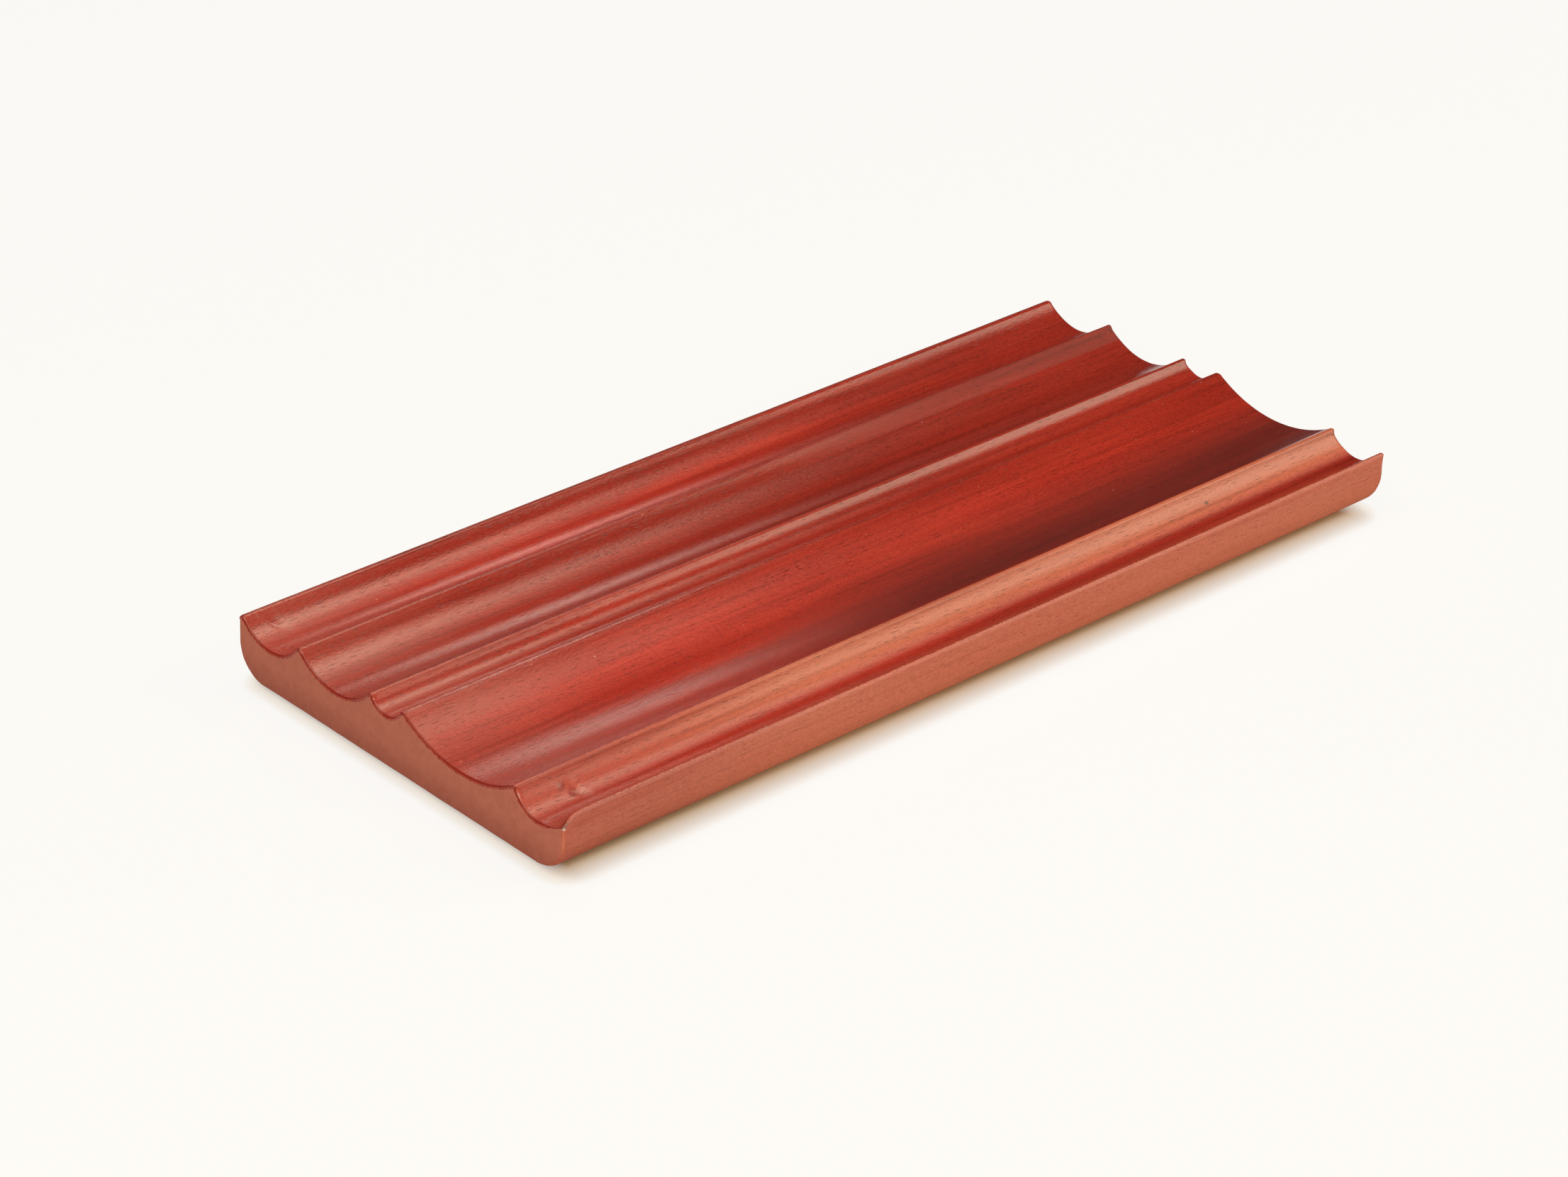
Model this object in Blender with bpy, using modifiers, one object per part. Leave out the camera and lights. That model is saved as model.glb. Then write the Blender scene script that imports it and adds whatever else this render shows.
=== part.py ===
"""Pen tray: one moulded beech block with five pen grooves, on four round stick-on felt feet.

Units are metres and +Z is up. The grooves run along X, with the low lip at -Y and the back rim at +Y.
The origin is in the middle of the tray, on the surface that the feet stand on.

The block's section is a chain of arcs that touch one another, as a moulding cutter leaves it. Each
groove is one hollow arc, each crest between two grooves is rounded, and both lower edges turn up.
"""

import math
from collections import namedtuple

import bpy

MM = 0.001

# Block
BLOCK_LENGTH = 200.0 * MM
BLOCK_HEIGHT = 13.2 * MM
FRONT_BOTTOM_ROUND = 8.0 * MM
BACK_BOTTOM_ROUND = 6.5 * MM
BACK_LEAN = 0.4 * MM
END_ROUND = 0.5 * MM

# Crests: the front lip, the ridges between grooves and the back rim
LIP_ROUND = 0.65 * MM
RIDGE_ROUND = 0.7 * MM
RIM_ROUND = 1.0 * MM

# Grooves, each with the radius that cut it and its depth below the block's top
FRONT_GROOVE_RADIUS = 6.6 * MM
WIDE_GROOVE_RADIUS = 27.8 * MM
NARROW_GROOVE_RADIUS = 4.7 * MM
MIDDLE_GROOVE_RADIUS = 13.9 * MM
BACK_GROOVE_RADIUS = 10.5 * MM
GROOVE_DEPTH = 4.5 * MM
NARROW_GROOVE_DEPTH = 2.6 * MM

# Steps across the section, from the front face over each groove's middle to the back face
FRONT_FACE_TO_FRONT_GROOVE = 6.85 * MM
FRONT_TO_WIDE_GROOVE = 20.9 * MM
WIDE_TO_NARROW_GROOVE = 20.6 * MM
NARROW_TO_MIDDLE_GROOVE = 14.8 * MM
MIDDLE_TO_BACK_GROOVE = 19.1 * MM
BACK_GROOVE_TO_BACK_FACE = 9.75 * MM

# Felt feet
FOOT_DIAMETER = 10.0 * MM
FOOT_THICKNESS = 0.8 * MM
FOOT_EDGE_ROUND = 0.15 * MM
FOOT_FROM_END = 12.0 * MM
FOOT_FROM_BOTTOM_ROUND = 2.0 * MM
FOOT_SEAT_GAP = 0.3 * MM

# Fineness of the facets
ARC_SAG = 0.008 * MM
SAME_POINT = 0.02 * MM
END_ROUND_STEPS = 2
FOOT_SIDES = 40
FOOT_ROUND_STEPS = 2
HALVINGS = 40

# Directions round a circle of the section, where 0 points at the back
BACK = 0.0
UP = math.pi / 2
FRONT = math.pi
TURN = 2 * math.pi

UNDERSIDE_Z = FOOT_THICKNESS + FOOT_SEAT_GAP
TOP_Z = UNDERSIDE_Z + BLOCK_HEIGHT
BLOCK_WIDTH = (
    FRONT_FACE_TO_FRONT_GROOVE
    + FRONT_TO_WIDE_GROOVE
    + WIDE_TO_NARROW_GROOVE
    + NARROW_TO_MIDDLE_GROOVE
    + MIDDLE_TO_BACK_GROOVE
    + BACK_GROOVE_TO_BACK_FACE
)
FRONT_Y = -BLOCK_WIDTH / 2
BACK_Y = BLOCK_WIDTH / 2

Circle = namedtuple("Circle", "y z radius")


def clear_scene():
    for thing in list(bpy.data.objects):
        bpy.data.objects.remove(thing, do_unlink=True)


def new_collection(name):
    collection = bpy.data.collections.new(name)
    bpy.context.scene.collection.children.link(collection)
    return collection


def new_material(name, colour, roughness):
    material = bpy.data.materials.new(name)
    material.use_nodes = True
    shader = material.node_tree.nodes["Principled BSDF"]
    shader.inputs["Base Color"].default_value = (*colour, 1.0)
    shader.inputs["Roughness"].default_value = roughness
    shader.inputs["Metallic"].default_value = 0.0
    return material


def arc(circle, start, end):
    """Points along a circle, so close together that no chord lies further in than ARC_SAG."""
    step = 2 * math.acos(1 - ARC_SAG / circle.radius)
    count = max(1, math.ceil(abs(end - start) / step))
    angles = [start + (end - start) * i / count for i in range(count + 1)]
    return [(circle.y + circle.radius * math.cos(a), circle.z + circle.radius * math.sin(a)) for a in angles]


def direction(circle, target):
    """The angle from one circle's centre to another's, which is also where the two touch."""
    return math.atan2(target.z - circle.z, target.y - circle.y) % TURN


def groove(y, radius, depth):
    return Circle(y, TOP_Z - depth + radius, radius)


def beside(hollow, side, radius):
    """Gives the Y, for each height, of a rounding's centre that touches a groove on its -1 or +1 side."""
    reach = hollow.radius + radius

    def centre_y(z):
        return hollow.y + side * math.sqrt(max(reach**2 - (hollow.z - z) ** 2, 0))

    return centre_y


def against(wall_y, side, radius):
    """Gives the Y of a rounding's centre that touches an upright wall from its -1 or +1 side."""
    return lambda z: wall_y + side * radius


def crest(front_y, back_y, radius):
    """The roundings at the front and the back of one crest, which are the same where it has no flat.

    The crest is flat at the block's top where its neighbours leave room, and otherwise its one rounding
    sinks until it touches both. front_y and back_y say where a rounding touches each neighbour.
    """
    z = TOP_Z - radius
    if front_y(z) > back_y(z):
        high = z
        low = UNDERSIDE_Z
        for _ in range(HALVINGS):
            z = (low + high) / 2
            if front_y(z) > back_y(z):
                high = z
            else:
                low = z
    return Circle(front_y(z), z, radius), Circle(back_y(z), z, radius)


def all_grooves():
    """The five grooves, from the lip to the rim."""
    steps_and_cuts = [
        (FRONT_FACE_TO_FRONT_GROOVE, FRONT_GROOVE_RADIUS, GROOVE_DEPTH),
        (FRONT_TO_WIDE_GROOVE, WIDE_GROOVE_RADIUS, GROOVE_DEPTH),
        (WIDE_TO_NARROW_GROOVE, NARROW_GROOVE_RADIUS, NARROW_GROOVE_DEPTH),
        (NARROW_TO_MIDDLE_GROOVE, MIDDLE_GROOVE_RADIUS, GROOVE_DEPTH),
        (MIDDLE_TO_BACK_GROOVE, BACK_GROOVE_RADIUS, GROOVE_DEPTH),
    ]
    grooves = []
    y = FRONT_Y
    for step, radius, depth in steps_and_cuts:
        y += step
        grooves.append(groove(y, radius, depth))
    return grooves


def all_crests(grooves):
    """The lip, the four ridges and the rim, each as its front and its back rounding."""
    lip = crest(against(FRONT_Y, 1, LIP_ROUND), beside(grooves[0], -1, LIP_ROUND), LIP_ROUND)
    ridges = [
        crest(beside(before, 1, RIDGE_ROUND), beside(after, -1, RIDGE_ROUND), RIDGE_ROUND)
        for before, after in zip(grooves, grooves[1:])
    ]
    rim_wall = against(BACK_Y - BACK_LEAN, -1, RIM_ROUND)
    rim = crest(beside(grooves[-1], 1, RIM_ROUND), rim_wall, RIM_ROUND)
    return [lip, *ridges, rim]


def without_repeats(points):
    """Leaves out each point that lies on the one before it."""
    kept = [points[-1]]
    for point in points:
        if math.dist(point, kept[-1]) > SAME_POINT:
            kept.append(point)
    return kept


def section():
    """The block's outline across the grooves, as (Y, Z) points up the front, over the top and back."""
    grooves = all_grooves()
    crests = all_crests(grooves)
    front_bottom = Circle(FRONT_Y + FRONT_BOTTOM_ROUND, UNDERSIDE_Z + FRONT_BOTTOM_ROUND, FRONT_BOTTOM_ROUND)
    back_bottom = Circle(BACK_Y - BACK_BOTTOM_ROUND, UNDERSIDE_Z + BACK_BOTTOM_ROUND, BACK_BOTTOM_ROUND)

    points = arc(front_bottom, FRONT + UP, FRONT)
    touched = FRONT
    for hollow, (front, back), (following, _) in zip(grooves, crests, crests[1:]):
        points += arc(front, touched, UP)
        points += arc(back, UP, direction(back, hollow))
        points += arc(hollow, direction(hollow, back), direction(hollow, following))
        touched = direction(following, hollow)
    front, back = crests[-1]
    points += arc(front, touched, UP)
    points += arc(back, UP, BACK)
    points += arc(back_bottom, BACK, -UP)
    return without_repeats(points)


def make_block(collection):
    """The moulded block, with its end edges sanded round."""
    curve = bpy.data.curves.new("tray_block", "CURVE")
    curve.dimensions = "2D"
    curve.fill_mode = "BOTH"
    curve.extrude = BLOCK_LENGTH / 2 - END_ROUND
    curve.bevel_depth = END_ROUND
    curve.bevel_resolution = END_ROUND_STEPS
    curve.offset = -END_ROUND
    outline = section()
    spline = curve.splines.new("POLY")
    spline.points.add(len(outline) - 1)
    for place, (y, z) in zip(spline.points, outline):
        place.co = (y, z, 0.0, 1.0)
    spline.use_cyclic_u = True

    block = bpy.data.objects.new("tray_block", curve)
    block.rotation_euler = (UP, 0.0, UP)
    block.data.materials.append(new_material("stained_beech", (0.40, 0.045, 0.03), 0.4))
    collection.objects.link(block)


def foot_mesh():
    """One felt disc standing on Z = 0, shared by the four feet."""
    bpy.ops.mesh.primitive_cylinder_add(
        vertices=FOOT_SIDES,
        radius=FOOT_DIAMETER / 2,
        depth=FOOT_THICKNESS,
        location=(0.0, 0.0, 0.0),
    )
    maker = bpy.context.object
    mesh = maker.data
    mesh.name = "felt_foot"
    for vertex in mesh.vertices:
        vertex.co.z += FOOT_THICKNESS / 2
    mesh.shade_smooth()
    mesh.set_sharp_from_angle(angle=UP / 2)
    mesh.materials.append(new_material("dark_felt", (0.05, 0.045, 0.042), 0.95))
    bpy.data.objects.remove(maker, do_unlink=True)
    return mesh


def make_feet(collection):
    """Four felt discs under the flat of the block, set in from the ends and the turned-up edges."""
    mesh = foot_mesh()
    radius = FOOT_DIAMETER / 2
    x = BLOCK_LENGTH / 2 - FOOT_FROM_END - radius
    rows = {
        "front": FRONT_Y + FRONT_BOTTOM_ROUND + FOOT_FROM_BOTTOM_ROUND + radius,
        "back": BACK_Y - BACK_BOTTOM_ROUND - FOOT_FROM_BOTTOM_ROUND - radius,
    }
    for row, y in rows.items():
        for side, place_x in (("left", -x), ("right", x)):
            foot = bpy.data.objects.new(f"felt_foot_{row}_{side}", mesh)
            foot.location = (place_x, y, 0.0)
            collection.objects.link(foot)
            edge = foot.modifiers.new("edge", "BEVEL")
            edge.width = FOOT_EDGE_ROUND
            edge.segments = FOOT_ROUND_STEPS


def main():
    clear_scene()
    collection = new_collection("pen_tray")
    make_block(collection)
    make_feet(collection)


main()
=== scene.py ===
"""A pen tray of red-stained beech on four felt feet, finished for a studio picture.

Lengths are in metres unless a comment says mm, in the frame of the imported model: X runs along the
grooves, the low lip is at -Y, the rim at +Y, and the table's surface is at Z = 0. The block is a fine
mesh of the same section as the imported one, with sanded ends, worn crests and small dents.
"""

import math
from collections import namedtuple

import bmesh
import bpy
import numpy as np
from bpy.props import FloatProperty, FloatVectorProperty, PointerProperty
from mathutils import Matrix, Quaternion, Vector, noise


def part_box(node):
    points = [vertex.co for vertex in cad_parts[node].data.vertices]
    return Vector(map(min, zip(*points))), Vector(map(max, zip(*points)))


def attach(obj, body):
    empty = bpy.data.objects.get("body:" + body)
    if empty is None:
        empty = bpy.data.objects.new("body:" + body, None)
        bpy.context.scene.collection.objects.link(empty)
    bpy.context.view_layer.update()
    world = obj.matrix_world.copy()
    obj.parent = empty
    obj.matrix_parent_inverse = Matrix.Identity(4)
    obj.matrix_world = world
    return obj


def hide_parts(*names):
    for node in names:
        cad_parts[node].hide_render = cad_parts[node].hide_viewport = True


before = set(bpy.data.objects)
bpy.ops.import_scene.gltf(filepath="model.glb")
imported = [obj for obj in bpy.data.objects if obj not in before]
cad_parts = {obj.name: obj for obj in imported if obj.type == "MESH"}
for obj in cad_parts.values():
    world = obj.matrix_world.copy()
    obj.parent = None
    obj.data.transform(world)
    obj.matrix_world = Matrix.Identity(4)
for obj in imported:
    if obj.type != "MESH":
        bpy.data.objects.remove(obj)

bl_info = {
    "name": "Pen Tray",
    "version": (1, 0, 0),
    "blender": (4, 5, 0),
    "location": "3D View > Sidebar > Pen Tray",
    "description": "Builds a moulded beech pen tray with its stain, lacquer, felt feet and studio",
    "category": "Object",
}

MM = 0.001

# Directions round a circle of the section, where 0 points at the back
BACK = 0.0
UP = math.pi / 2
FRONT = math.pi
TURN = 2 * math.pi

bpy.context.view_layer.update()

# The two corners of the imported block
LOW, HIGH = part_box("tray_block")

BODY = "root"
FEET = [f"{row}_{side}" for row in ("front", "back") for side in ("left", "right")]
SURFACE_MAP = "OFBake"
MAP_GAP = 2.0 * MM

Circle = namedtuple("Circle", "y z radius")


# Settings


def size(name, description, default):
    """A length that a user may change, with its default in mm."""
    return FloatProperty(
        name=name, description=description, default=default * MM, min=0.0, precision=5, unit="LENGTH"
    )


def colour(name, description, default):
    """A colour that a user may change."""
    return FloatVectorProperty(
        name=name, description=description, default=default, size=3, min=0.0, max=2.0, subtype="COLOR"
    )


def share(name, description, default):
    """A share from 0 to 1 that a user may change."""
    return FloatProperty(
        name=name, description=description, default=default, min=0.0, max=1.0, subtype="FACTOR"
    )


class BlockSizes(bpy.types.PropertyGroup):
    """The section of the block and the finish of its edges."""

    front_bottom_round: size("Front bottom round", "Radius of the turned-up front edge", 8.0)
    back_bottom_round: size("Back bottom round", "Radius of the turned-up back edge", 6.5)
    back_lean: size("Back lean", "How far the back face leans in at the rim", 0.4)
    lip_round: size("Lip round", "Radius of the front lip's top", 0.65)
    ridge_round: size("Ridge round", "Radius of each ridge's top", 0.7)
    rim_round: size("Rim round", "Radius of the back rim's top", 1.0)
    front_radius: size("Front groove radius", "Radius of the groove behind the lip", 6.6)
    wide_radius: size("Wide groove radius", "Radius of the wide groove", 27.8)
    narrow_radius: size("Narrow groove radius", "Radius of the narrow groove", 4.7)
    middle_radius: size("Middle groove radius", "Radius of the middle groove", 13.9)
    back_radius: size("Back groove radius", "Radius of the groove below the rim", 10.5)
    groove_depth: size("Groove depth", "Depth of the four main grooves", 4.5)
    narrow_depth: size("Narrow groove depth", "Depth of the narrow groove", 2.6)
    to_front: size("To front groove", "From the front face to the front groove", 6.85)
    to_wide: size("To wide groove", "From the front groove to the wide one", 20.9)
    to_narrow: size("To narrow groove", "From the wide groove to the narrow one", 20.6)
    to_middle: size("To middle groove", "From the narrow groove to the middle one", 14.8)
    to_back: size("To back groove", "From the middle groove to the back one", 19.1)
    groove_end_round: size("Groove end round", "Rounding where a groove meets an end", 0.5)
    face_end_round: size("Face end round", "Rounding where the outside meets an end", 1.1)
    crest_end_round: size("Crest end round", "Rounding at the ends of the lip and ridges", 0.5)
    rim_end_round: size("Rim end round", "Rounding at the ends of the rim", 0.85)
    waviness: size("Waviness", "How far sanding took the surface down", 0.05)
    lip_wear: size("Lip wear", "How far the lip is rubbed down at its left end", 2.0)
    crest_nicks: size("Crest nicks", "How deep the nicks along the crests are", 0.03)


class BlockFinish(bpy.types.PropertyGroup):
    """The stain and the lacquer of the block; some colours are partly painted sheen and highlight."""

    deep: colour("Deep stain", "Stain where the wood took it up most", (0.30, 0.016, 0.009))
    middle: colour("Middle stain", "Stain over most of the wood", (0.50, 0.032, 0.016))
    bright: colour("Bright stain", "Stain along the orange-red streaks", (0.60, 0.055, 0.024))
    fleck: colour("Flecks", "How the short rays of beech darken the stain", (0.29, 0.25, 0.28))
    ray: colour("Rays", "How the fine pale rays lift the stain", (1.25, 1.45, 1.45))
    end_grain: colour("End grain", "The brown-red stain on the sawn ends", (0.46, 0.150, 0.114))
    # The outside's paler colour is partly painted sheen
    outside: colour("Outside stain", "The paler stain on the front face", (0.61, 0.192, 0.138))
    rim: colour("Rim stain", "The dark line where the stain meets the ends", (0.20, 0.012, 0.010))
    strip: colour("Strip stain", "The ragged strip that runs over onto the ends", (0.38, 0.050, 0.028))
    # The slope's paler colour is partly painted sheen
    slope: colour("Slope stain", "The paler stain on the slope behind the front groove", (0.62, 0.155, 0.075))
    # The worn crests' pale colour is partly a painted highlight
    worn: colour("Worn crest", "Wood that shows where the crests are worn", (0.66, 0.27, 0.20))
    # The lip line is partly a painted highlight
    lip_line: colour("Lip line", "The orange line where the lip's edge is rubbed", (0.68, 0.22, 0.11))
    dust: colour("Dust", "Pale specks caught in the lacquer", (0.80, 0.55, 0.42))
    roughness: share("Lacquer roughness", "Roughness of the satin lacquer", 0.21)
    lacquer_shine: share("Lacquer shine", "Specular level of the lacquered surfaces", 0.5)
    satin_shine: share("Satin shine", "Specular level of the wide groove, where the lacquer is rubbed", 0.27)
    bare_shine: share("Bare shine", "Specular level of the thinly finished outside and ends", 0.12)


class FootSizes(bpy.types.PropertyGroup):
    """The felt feet."""

    fuzz: size("Fuzz", "How far the felt's surface goes in and out", 0.06)
    felt: colour("Felt", "Colour of the felt", (0.045, 0.040, 0.038))


class StudioSettings(bpy.types.PropertyGroup):
    """The table, the lamps and the camera."""

    table: colour("Table", "Colour of the table", (0.84, 0.68, 0.40))
    table_radius: size("Table radius", "Radius of the round table", 4000.0)
    backdrop: colour("Backdrop", "Colour of the table away from the block", (1.0, 1.0, 0.998))
    backdrop_share: share("Backdrop share", "How far the table takes the backdrop's colour", 0.875)
    lamp: colour("Lamps", "Colour of the lamps", (1.0, 0.975, 0.89))
    ambient: FloatProperty(
        name="Ambient", description="Strength of the even light from all sides", default=0.035, min=0.0
    )
    lens: FloatProperty(
        name="Lens", description="Focal length of the camera", default=101.8, unit="CAMERA"
    )


class PenTraySettings(bpy.types.PropertyGroup):
    """All that can be set."""

    block: PointerProperty(type=BlockSizes)
    finish: PointerProperty(type=BlockFinish)
    feet: PointerProperty(type=FootSizes)
    studio: PointerProperty(type=StudioSettings)


# The section of the block

ARC_SAG = 0.002 * MM
LONGEST_STEP = 0.55 * MM
LONGEST_FLAT_STEP = 2.0 * MM
SAME_POINT = 0.01 * MM
HALVINGS = 40
CREST_REACH = 0.8 * MM


def sweep(circle, start, end):
    """Points along a circle from one direction to another, close enough to look round."""
    step = min(2 * math.acos(1 - ARC_SAG / circle.radius), LONGEST_STEP / circle.radius)
    count = max(1, math.ceil(abs(end - start) / step))
    turns = np.linspace(start, end, count + 1)
    return [(circle.y + circle.radius * math.cos(a), circle.z + circle.radius * math.sin(a)) for a in turns]


def towards(circle, target):
    """The direction from one circle's centre to another's, which is also where the two touch."""
    return math.atan2(target.z - circle.z, target.y - circle.y) % TURN


def beside(hollow, side, radius):
    """Gives the Y, for each height, of a rounding's centre that touches a groove on its -1 or +1 side."""
    reach = hollow.radius + radius
    return lambda z: hollow.y + side * math.sqrt(max(reach**2 - (hollow.z - z) ** 2, 0.0))


def against(wall_y, side, radius):
    """Gives the Y of a rounding's centre that touches an upright wall from its -1 or +1 side."""
    return lambda z: wall_y + side * radius


def crest(front_y, back_y, radius):
    """The roundings at the front and the back of one crest, which are the same where it has no flat."""
    z = HIGH.z - radius
    if front_y(z) > back_y(z):
        high = z
        low = LOW.z
        for _ in range(HALVINGS):
            z = (low + high) / 2
            if front_y(z) > back_y(z):
                high = z
            else:
                low = z
    return Circle(front_y(z), z, radius), Circle(back_y(z), z, radius)


def all_grooves(sizes):
    """The five grooves, from the lip to the rim."""
    grooves = []
    y = LOW.y
    for name in ("front", "wide", "narrow", "middle", "back"):
        y += getattr(sizes, f"to_{name}")
        radius = getattr(sizes, f"{name}_radius")
        depth = sizes.narrow_depth if name == "narrow" else sizes.groove_depth
        grooves.append(Circle(y, HIGH.z - depth + radius, radius))
    return grooves


def all_crests(sizes, grooves):
    """The lip, the four ridges and the rim, each as its front and its back rounding."""
    lip, ridge, rim = sizes.lip_round, sizes.ridge_round, sizes.rim_round
    front = crest(against(LOW.y, 1, lip), beside(grooves[0], -1, lip), lip)
    ridges = [
        crest(beside(before, 1, ridge), beside(after, -1, ridge), ridge)
        for before, after in zip(grooves, grooves[1:])
    ]
    back = crest(beside(grooves[-1], 1, rim), against(HIGH.y - sizes.back_lean, -1, rim), rim)
    return [front, *ridges, back]


def filled(points):
    """Drops points that lie on the one before and adds points along the straight stretches."""
    made = []
    for start, end in zip(points, points[1:] + points[:1]):
        gap = math.dist(start, end)
        if gap < SAME_POINT:
            continue
        count = max(1, math.ceil(gap / LONGEST_FLAT_STEP))
        made += np.linspace(start, end, count, endpoint=False).tolist()
    return made


def section(sizes):
    """The block's outline across the grooves: up the front, over the top and down the back."""
    grooves = all_grooves(sizes)
    crests = all_crests(sizes, grooves)
    round_front, round_back = sizes.front_bottom_round, sizes.back_bottom_round
    front_bottom = Circle(LOW.y + round_front, LOW.z + round_front, round_front)
    back_bottom = Circle(HIGH.y - round_back, LOW.z + round_back, round_back)

    points = sweep(front_bottom, FRONT + UP, FRONT)
    touched = FRONT
    for hollow, (front, back), (following, _) in zip(grooves, crests, crests[1:]):
        points += sweep(front, touched, UP)
        points += sweep(back, UP, towards(back, hollow))
        points += sweep(hollow, towards(hollow, back), towards(hollow, following))
        touched = towards(following, hollow)
    front, back = crests[-1]
    points += sweep(front, touched, UP)
    points += sweep(back, UP, BACK)
    points += sweep(back_bottom, BACK, -UP)
    return np.array(filled(points)), crests


def outward(points):
    """The direction that faces out of the wood at each point of the outline."""
    along = points - np.roll(points, 1, axis=0)
    along /= np.linalg.norm(along, axis=1)[:, None]
    along += np.roll(along, -1, axis=0)
    along /= np.linalg.norm(along, axis=1)[:, None]
    return np.stack([-along[:, 1], along[:, 0]], 1)


def near_crest(points, crests):
    """How near each point is to the top of a crest, from 0 to 1, and which crest that is."""
    gaps = []
    for front, back in crests:
        across = np.clip(points[:, 0], front.y, back.y) - points[:, 0]
        up = points[:, 1] - front.z - front.radius
        gaps.append(np.hypot(across, up))
    gaps = np.array(gaps)
    return np.exp(-((gaps.min(0) / CREST_REACH) ** 2)), gaps.argmin(0)


# The block's mesh

END_ROUND_STEPS = 9
END_STRETCH = 16.0 * MM
END_STEP = 0.5 * MM
MIDDLE_STEP = 2.0 * MM
RIM = 5
LIP_WEAR_REACH = 1.7 * MM

# How fast an end's rounding grows towards the underside, the front and a crest, and how it wobbles
UNDERSIDE_GROWTH = 2
FRONT_GROWTH = 3
FRONT_START = 1.5
CREST_GROWTH = 1.6
WOBBLE = 0.12
WOBBLE_STEP = 2.0 * MM
WOBBLE_PLACE = 7.3


def stations():
    """Places along the block, as distances from its left end, finer near the ends."""
    length = HIGH.x - LOW.x
    near = np.linspace(0.0, END_STRETCH, round(END_STRETCH / END_STEP) + 1)
    middle = length - 2 * END_STRETCH
    far = np.linspace(END_STRETCH, END_STRETCH + middle, round(middle / MIDDLE_STEP) + 1)
    return np.concatenate([near, far[1:-1], length - near[::-1]])


def end_rounds(sizes, points, normals, crest_weight, which):
    """How far the sanded rounding at an end reaches, for each point of the outline."""
    underside = np.clip(1 - UNDERSIDE_GROWTH * normals[:, 1], 0, 1)
    front = np.clip(-FRONT_GROWTH * normals[:, 0] - FRONT_START, 0, 1)
    more = sizes.face_end_round - sizes.groove_end_round
    reach = sizes.groove_end_round + more * np.maximum(underside, front)
    on_crest = np.where(which == RIM, sizes.rim_end_round, sizes.crest_end_round)
    reach += (on_crest - reach) * np.clip(crest_weight * CREST_GROWTH, 0, 1)
    places = [Vector((y / WOBBLE_STEP, z / WOBBLE_STEP, WOBBLE_PLACE)) for y, z in points]
    return reach * (1 + WOBBLE * np.array([noise.noise(place) for place in places]))


def rings(sizes):
    """The block's surface as rings of points, with the outline's outward directions and crest weights."""
    points, crests = section(sizes)
    normals = outward(points)
    weight, which = near_crest(points, crests)
    reach = end_rounds(sizes, points, normals, weight, which)
    length = HIGH.x - LOW.x

    nothing = np.zeros(len(points))
    start = []
    for k in range(END_ROUND_STEPS):
        turned = UP * k / END_ROUND_STEPS
        start.append((reach * (1 - math.cos(turned)), reach * (1 - math.sin(turned))))
    start.append((reach, nothing))
    body = [(np.full(len(points), s), nothing) for s in stations() if reach.max() < s < length - reach.max()]
    everything = start + body + [(length - along, inset) for along, inset in reversed(start)]

    places = np.zeros((len(everything), len(points), 3))
    for ring, (along, inset) in zip(places, everything):
        ring[:, 0] = LOW.x + along
        ring[:, 1:] = points - normals * inset[:, None]
    return places, normals, weight


# Small dents and lifted spots near the left end, in mm. Each is an oval, turned about its middle.
Dent = namedtuple("Dent", "along y turn length width depth")
DENTS = (
    Dent(4.6, 42, -0.9, 2.6, 0.35, 0.14),
    Dent(5.8, 42.3, -0.9, 2, 0.6, -0.04),
    Dent(8.8, -34.9, 0.3, 0.9, 0.5, 0.12),
    Dent(9.8, -36.3, -0.7, 1.8, 0.45, 0.13),
    Dent(11, -35.9, 0.8, 1.6, 0.45, 0.09),
    Dent(11.8, -36.6, 0, 0.9, 0.6, -0.05),
    Dent(8, -37.9, 0.2, 1.4, 0.5, 0.09),
    Dent(23.8, 23.6, -0.9, 1.6, 0.4, 0.06),
    Dent(25.1, 20.8, -1.2, 1.4, 0.4, 0.06),
    Dent(3, -8.4, 1.3, 0.9, 0.4, 0.05),
    Dent(4.4, -8.1, 1.3, 0.9, 0.4, 0.05),
    Dent(5.8, -7.9, 1.3, 0.9, 0.4, 0.04),
)

# Noise in the surface, with its steps along and across the grain and its shift
BROAD_WAVES = (28 * MM, 5 * MM, 0)
SMALL_WAVES = (7 * MM, 2.2 * MM, 11)
NICKS = (3.2 * MM, 9 * MM, 23)
WAVE_SHARES = (0.6, 0.35, 0.15)
NICK_START = 0.25
TOP_GROWTH = 3
END_FADE = 0.5 * MM


def rough_field(places, along, across, shift):
    """Smooth noise from -1 to 1 at each place, stretched along the grain."""
    scale = np.array([1 / along, 1 / across, 1 / across])
    scaled = places.reshape(-1, 3) * scale + shift
    return np.array([noise.noise(Vector(place)) for place in scaled]).reshape(places.shape[:2])


def lowered_lip(sizes, places):
    """Rubs the lip down towards its left end, while the floor of the groove behind it stays."""
    x, y, z = np.moveaxis(places, 2, 0)
    floor = HIGH.z - sizes.groove_depth
    above = np.clip(z - floor, 0, None) * (y < LOW.y + sizes.to_front)
    near_end = np.exp(-(((x - LOW.x) / LIP_WEAR_REACH) ** 2))
    lower = places.copy()
    lower[:, :, 2] -= sizes.lip_wear * near_end * above / above.max()
    return lower


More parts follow.
